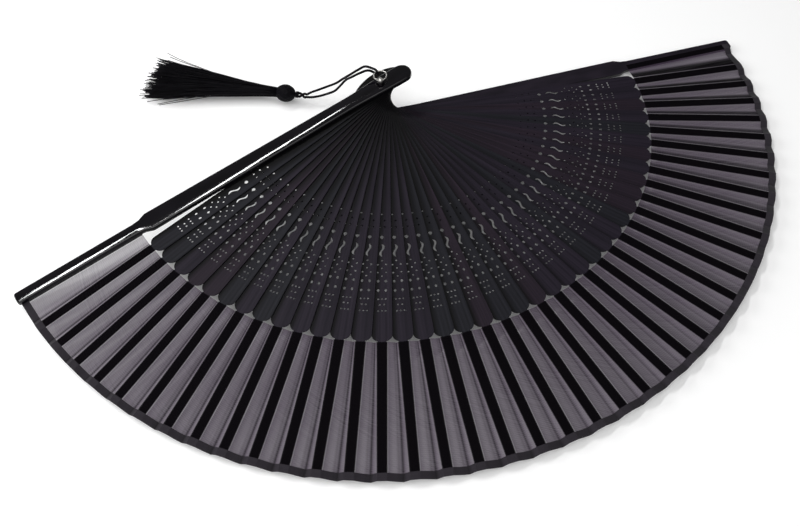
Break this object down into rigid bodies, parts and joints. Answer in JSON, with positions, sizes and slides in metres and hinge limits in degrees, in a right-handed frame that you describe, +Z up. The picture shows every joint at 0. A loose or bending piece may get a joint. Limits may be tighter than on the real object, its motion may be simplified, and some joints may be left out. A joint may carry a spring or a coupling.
{
  "type": "hand fan",
  "caption": "Open folding hand fan with pierced dark ribs, glossy guards, a pleated sheer leaf with a bound edge, and a tassel on the pivot's ring.",
  "frame": {"origin": "middle of the flat underside of the rivet's foot, on the axis that the sticks turn about", "axes": "+X towards the back guard's end of the open fan, the fan opens towards -Y, +Z up from the surface that it lies on"},
  "size_m": [0.3836, 0.2856, 0.0337],
  "materials": {
    "rib_bamboo": "matt black stained bamboo with a fine grain",
    "guard_lacquer": "glossy black lacquer",
    "leaf_fabric": "sheer black woven cloth",
    "edge_tape": "black folded edge tape",
    "steel": "bright plated steel",
    "silk_cord": "black silk-like cord and threads"
  },
  "bodies": {
    "back": {"back_guard": "guard_lacquer", "leaf": "leaf_fabric", "leaf_binding": "edge_tape", "rivet": "steel", "washer": "steel", "tassel_cord": "silk_cord", "tassel_neck": "silk_cord", "tassel_knob": "silk_cord", "tassel_skirt": "silk_cord"},
    "rib_01": {"rib_01": "rib_bamboo"},
    "rib_02": {"rib_02": "rib_bamboo"},
    "rib_03": {"rib_03": "rib_bamboo"},
    "rib_04": {"rib_04": "rib_bamboo"},
    "rib_05": {"rib_05": "rib_bamboo"},
    "rib_06": {"rib_06": "rib_bamboo"},
    "rib_07": {"rib_07": "rib_bamboo"},
    "rib_08": {"rib_08": "rib_bamboo"},
    "rib_09": {"rib_09": "rib_bamboo"},
    "rib_10": {"rib_10": "rib_bamboo"},
    "rib_11": {"rib_11": "rib_bamboo"},
    "rib_12": {"rib_12": "rib_bamboo"},
    "rib_13": {"rib_13": "rib_bamboo"},
    "rib_14": {"rib_14": "rib_bamboo"},
    "rib_15": {"rib_15": "rib_bamboo"},
    "rib_16": {"rib_16": "rib_bamboo"},
    "rib_17": {"rib_17": "rib_bamboo"},
    "rib_18": {"rib_18": "rib_bamboo"},
    "rib_19": {"rib_19": "rib_bamboo"},
    "rib_20": {"rib_20": "rib_bamboo"},
    "rib_21": {"rib_21": "rib_bamboo"},
    "rib_22": {"rib_22": "rib_bamboo"},
    "rib_23": {"rib_23": "rib_bamboo"},
    "rib_24": {"rib_24": "rib_bamboo"},
    "rib_25": {"rib_25": "rib_bamboo"},
    "rib_26": {"rib_26": "rib_bamboo"},
    "rib_27": {"rib_27": "rib_bamboo"},
    "rib_28": {"rib_28": "rib_bamboo"},
    "rib_29": {"rib_29": "rib_bamboo"},
    "rib_30": {"rib_30": "rib_bamboo"},
    "rib_31": {"rib_31": "rib_bamboo"},
    "rib_32": {"rib_32": "rib_bamboo"},
    "rib_33": {"rib_33": "rib_bamboo"},
    "rib_34": {"rib_34": "rib_bamboo"},
    "rib_35": {"rib_35": "rib_bamboo"},
    "rib_36": {"rib_36": "rib_bamboo"},
    "rib_37": {"rib_37": "rib_bamboo"},
    "rib_38": {"rib_38": "rib_bamboo"},
    "rib_39": {"rib_39": "rib_bamboo"},
    "rib_40": {"rib_40": "rib_bamboo"},
    "front": {"front_guard": "guard_lacquer"},
    "ring": {"ring": "steel"}
  },
  "joints": [
    {"name": "fold", "type": "hinge", "parent": "back", "child": "front", "pos_m": [0, 0, 0], "axis": [-0.0469, 0, 0.9989], "range_deg": [0, 162.03], "deforming": ["leaf", "leaf_binding"]},
    {"name": "rib_01_turn", "type": "hinge", "parent": "back", "child": "rib_01", "pos_m": [0, 0, 0], "axis": [-0.0469, 0, 0.9989], "range_deg": [0, 5.48]},
    {"name": "rib_02_turn", "type": "hinge", "parent": "back", "child": "rib_02", "pos_m": [0, 0, 0], "axis": [-0.0469, 0, 0.9989], "range_deg": [0, 9.36]},
    {"name": "rib_03_turn", "type": "hinge", "parent": "back", "child": "rib_03", "pos_m": [0, 0, 0], "axis": [-0.0469, 0, 0.9989], "range_deg": [0, 13.23]},
    {"name": "rib_04_turn", "type": "hinge", "parent": "back", "child": "rib_04", "pos_m": [0, 0, 0], "axis": [-0.0469, 0, 0.9989], "range_deg": [0, 17.11]},
    {"name": "rib_05_turn", "type": "hinge", "parent": "back", "child": "rib_05", "pos_m": [0, 0, 0], "axis": [-0.0469, 0, 0.9989], "range_deg": [0, 20.98]},
    {"name": "rib_06_turn", "type": "hinge", "parent": "back", "child": "rib_06", "pos_m": [0, 0, 0], "axis": [-0.0469, 0, 0.9989], "range_deg": [0, 24.85]},
    {"name": "rib_07_turn", "type": "hinge", "parent": "back", "child": "rib_07", "pos_m": [0, 0, 0], "axis": [-0.0469, 0, 0.9989], "range_deg": [0, 28.73]},
    {"name": "rib_08_turn", "type": "hinge", "parent": "back", "child": "rib_08", "pos_m": [0, 0, 0], "axis": [-0.0469, 0, 0.9989], "range_deg": [0, 32.6]},
    {"name": "rib_09_turn", "type": "hinge", "parent": "back", "child": "rib_09", "pos_m": [0, 0, 0], "axis": [-0.0469, 0, 0.9989], "range_deg": [0, 36.48]},
    {"name": "rib_10_turn", "type": "hinge", "parent": "back", "child": "rib_10", "pos_m": [0, 0, 0], "axis": [-0.0469, 0, 0.9989], "range_deg": [0, 40.35]},
    {"name": "rib_11_turn", "type": "hinge", "parent": "back", "child": "rib_11", "pos_m": [0, 0, 0], "axis": [-0.0469, 0, 0.9989], "range_deg": [0, 44.22]},
    {"name": "rib_12_turn", "type": "hinge", "parent": "back", "child": "rib_12", "pos_m": [0, 0, 0], "axis": [-0.0469, 0, 0.9989], "range_deg": [0, 48.1]},
    {"name": "rib_13_turn", "type": "hinge", "parent": "back", "child": "rib_13", "pos_m": [0, 0, 0], "axis": [-0.0469, 0, 0.9989], "range_deg": [0, 51.97]},
    {"name": "rib_14_turn", "type": "hinge", "parent": "back", "child": "rib_14", "pos_m": [0, 0, 0], "axis": [-0.0469, 0, 0.9989], "range_deg": [0, 55.85]},
    {"name": "rib_15_turn", "type": "hinge", "parent": "back", "child": "rib_15", "pos_m": [0, 0, 0], "axis": [-0.0469, 0, 0.9989], "range_deg": [0, 59.72]},
    {"name": "rib_16_turn", "type": "hinge", "parent": "back", "child": "rib_16", "pos_m": [0, 0, 0], "axis": [-0.0469, 0, 0.9989], "range_deg": [0, 63.59]},
    {"name": "rib_17_turn", "type": "hinge", "parent": "back", "child": "rib_17", "pos_m": [0, 0, 0], "axis": [-0.0469, 0, 0.9989], "range_deg": [0, 67.47]},
    {"name": "rib_18_turn", "type": "hinge", "parent": "back", "child": "rib_18", "pos_m": [0, 0, 0], "axis": [-0.0469, 0, 0.9989], "range_deg": [0, 71.34]},
    {"name": "rib_19_turn", "type": "hinge", "parent": "back", "child": "rib_19", "pos_m": [0, 0, 0], "axis": [-0.0469, 0, 0.9989], "range_deg": [0, 75.22]},
    {"name": "rib_20_turn", "type": "hinge", "parent": "back", "child": "rib_20", "pos_m": [0, 0, 0], "axis": [-0.0469, 0, 0.9989], "range_deg": [0, 79.09]},
    {"name": "rib_21_turn", "type": "hinge", "parent": "back", "child": "rib_21", "pos_m": [0, 0, 0], "axis": [-0.0469, 0, 0.9989], "range_deg": [0, 82.96]},
    {"name": "rib_22_turn", "type": "hinge", "parent": "back", "child": "rib_22", "pos_m": [0, 0, 0], "axis": [-0.0469, 0, 0.9989], "range_deg": [0, 86.84]},
    {"name": "rib_23_turn", "type": "hinge", "parent": "back", "child": "rib_23", "pos_m": [0, 0, 0], "axis": [-0.0469, 0, 0.9989], "range_deg": [0, 90.71]},
    {"name": "rib_24_turn", "type": "hinge", "parent": "back", "child": "rib_24", "pos_m": [0, 0, 0], "axis": [-0.0469, 0, 0.9989], "range_deg": [0, 94.59]},
    {"name": "rib_25_turn", "type": "hinge", "parent": "back", "child": "rib_25", "pos_m": [0, 0, 0], "axis": [-0.0469, 0, 0.9989], "range_deg": [0, 98.46]},
    {"name": "rib_26_turn", "type": "hinge", "parent": "back", "child": "rib_26", "pos_m": [0, 0, 0], "axis": [-0.0469, 0, 0.9989], "range_deg": [0, 102.33]},
    {"name": "rib_27_turn", "type": "hinge", "parent": "back", "child": "rib_27", "pos_m": [0, 0, 0], "axis": [-0.0469, 0, 0.9989], "range_deg": [0, 106.21]},
    {"name": "rib_28_turn", "type": "hinge", "parent": "back", "child": "rib_28", "pos_m": [0, 0, 0], "axis": [-0.0469, 0, 0.9989], "range_deg": [0, 110.08]},
    {"name": "rib_29_turn", "type": "hinge", "parent": "back", "child": "rib_29", "pos_m": [0, 0, 0], "axis": [-0.0469, 0, 0.9989], "range_deg": [0, 113.96]},
    {"name": "rib_30_turn", "type": "hinge", "parent": "back", "child": "rib_30", "pos_m": [0, 0, 0], "axis": [-0.0469, 0, 0.9989], "range_deg": [0, 117.83]},
    {"name": "rib_31_turn", "type": "hinge", "parent": "back", "child": "rib_31", "pos_m": [0, 0, 0], "axis": [-0.0469, 0, 0.9989], "range_deg": [0, 121.7]},
    {"name": "rib_32_turn", "type": "hinge", "parent": "back", "child": "rib_32", "pos_m": [0, 0, 0], "axis": [-0.0469, 0, 0.9989], "range_deg": [0, 125.58]},
    {"name": "rib_33_turn", "type": "hinge", "parent": "back", "child": "rib_33", "pos_m": [0, 0, 0], "axis": [-0.0469, 0, 0.9989], "range_deg": [0, 129.45]},
    {"name": "rib_34_turn", "type": "hinge", "parent": "back", "child": "rib_34", "pos_m": [0, 0, 0], "axis": [-0.0469, 0, 0.9989], "range_deg": [0, 133.33]},
    {"name": "rib_35_turn", "type": "hinge", "parent": "back", "child": "rib_35", "pos_m": [0, 0, 0], "axis": [-0.0469, 0, 0.9989], "range_deg": [0, 137.2]},
    {"name": "rib_36_turn", "type": "hinge", "parent": "back", "child": "rib_36", "pos_m": [0, 0, 0], "axis": [-0.0469, 0, 0.9989], "range_deg": [0, 141.07]},
    {"name": "rib_37_turn", "type": "hinge", "parent": "back", "child": "rib_37", "pos_m": [0, 0, 0], "axis": [-0.0469, 0, 0.9989], "range_deg": [0, 144.95]},
    {"name": "rib_38_turn", "type": "hinge", "parent": "back", "child": "rib_38", "pos_m": [0, 0, 0], "axis": [-0.0469, 0, 0.9989], "range_deg": [0, 148.82]},
    {"name": "rib_39_turn", "type": "hinge", "parent": "back", "child": "rib_39", "pos_m": [0, 0, 0], "axis": [-0.0469, 0, 0.9989], "range_deg": [0, 152.7]},
    {"name": "rib_40_turn", "type": "hinge", "parent": "back", "child": "rib_40", "pos_m": [0, 0, 0], "axis": [-0.0469, 0, 0.9989], "range_deg": [0, 156.57]},
    {"name": "ring_tilt", "type": "hinge", "parent": "back", "child": "ring", "pos_m": [-0.00137, 0, 0.02919], "axis": [0.9053, -0.4226, 0.0426], "range_deg": [-13, 157], "deforming": ["tassel_cord"]}
  ],
  "couplings": [
    {"joint": "rib_01_turn", "follows": "fold", "ratio": 0.033783},
    {"joint": "rib_02_turn", "follows": "fold", "ratio": 0.057692},
    {"joint": "rib_03_turn", "follows": "fold", "ratio": 0.0816},
    {"joint": "rib_04_turn", "follows": "fold", "ratio": 0.10551},
    {"joint": "rib_05_turn", "follows": "fold", "ratio": 0.12942},
    {"joint": "rib_06_turn", "follows": "fold", "ratio": 0.15333},
    {"joint": "rib_07_turn", "follows": "fold", "ratio": 0.17723},
    {"joint": "rib_08_turn", "follows": "fold", "ratio": 0.20114},
    {"joint": "rib_09_turn", "follows": "fold", "ratio": 0.22505},
    {"joint": "rib_10_turn", "follows": "fold", "ratio": 0.24896},
    {"joint": "rib_11_turn", "follows": "fold", "ratio": 0.27287},
    {"joint": "rib_12_turn", "follows": "fold", "ratio": 0.29678},
    {"joint": "rib_13_turn", "follows": "fold", "ratio": 0.32069},
    {"joint": "rib_14_turn", "follows": "fold", "ratio": 0.34459},
    {"joint": "rib_15_turn", "follows": "fold", "ratio": 0.3685},
    {"joint": "rib_16_turn", "follows": "fold", "ratio": 0.39241},
    {"joint": "rib_17_turn", "follows": "fold", "ratio": 0.41632},
    {"joint": "rib_18_turn", "follows": "fold", "ratio": 0.44023},
    {"joint": "rib_19_turn", "follows": "fold", "ratio": 0.46414},
    {"joint": "rib_20_turn", "follows": "fold", "ratio": 0.48805},
    {"joint": "rib_21_turn", "follows": "fold", "ratio": 0.51195},
    {"joint": "rib_22_turn", "follows": "fold", "ratio": 0.53586},
    {"joint": "rib_23_turn", "follows": "fold", "ratio": 0.55977},
    {"joint": "rib_24_turn", "follows": "fold", "ratio": 0.58368},
    {"joint": "rib_25_turn", "follows": "fold", "ratio": 0.60759},
    {"joint": "rib_26_turn", "follows": "fold", "ratio": 0.6315},
    {"joint": "rib_27_turn", "follows": "fold", "ratio": 0.65541},
    {"joint": "rib_28_turn", "follows": "fold", "ratio": 0.67931},
    {"joint": "rib_29_turn", "follows": "fold", "ratio": 0.70322},
    {"joint": "rib_30_turn", "follows": "fold", "ratio": 0.72713},
    {"joint": "rib_31_turn", "follows": "fold", "ratio": 0.75104},
    {"joint": "rib_32_turn", "follows": "fold", "ratio": 0.77495},
    {"joint": "rib_33_turn", "follows": "fold", "ratio": 0.79886},
    {"joint": "rib_34_turn", "follows": "fold", "ratio": 0.82277},
    {"joint": "rib_35_turn", "follows": "fold", "ratio": 0.84667},
    {"joint": "rib_36_turn", "follows": "fold", "ratio": 0.87058},
    {"joint": "rib_37_turn", "follows": "fold", "ratio": 0.89449},
    {"joint": "rib_38_turn", "follows": "fold", "ratio": 0.9184},
    {"joint": "rib_39_turn", "follows": "fold", "ratio": 0.94231},
    {"joint": "rib_40_turn", "follows": "fold", "ratio": 0.96622}
  ]
}
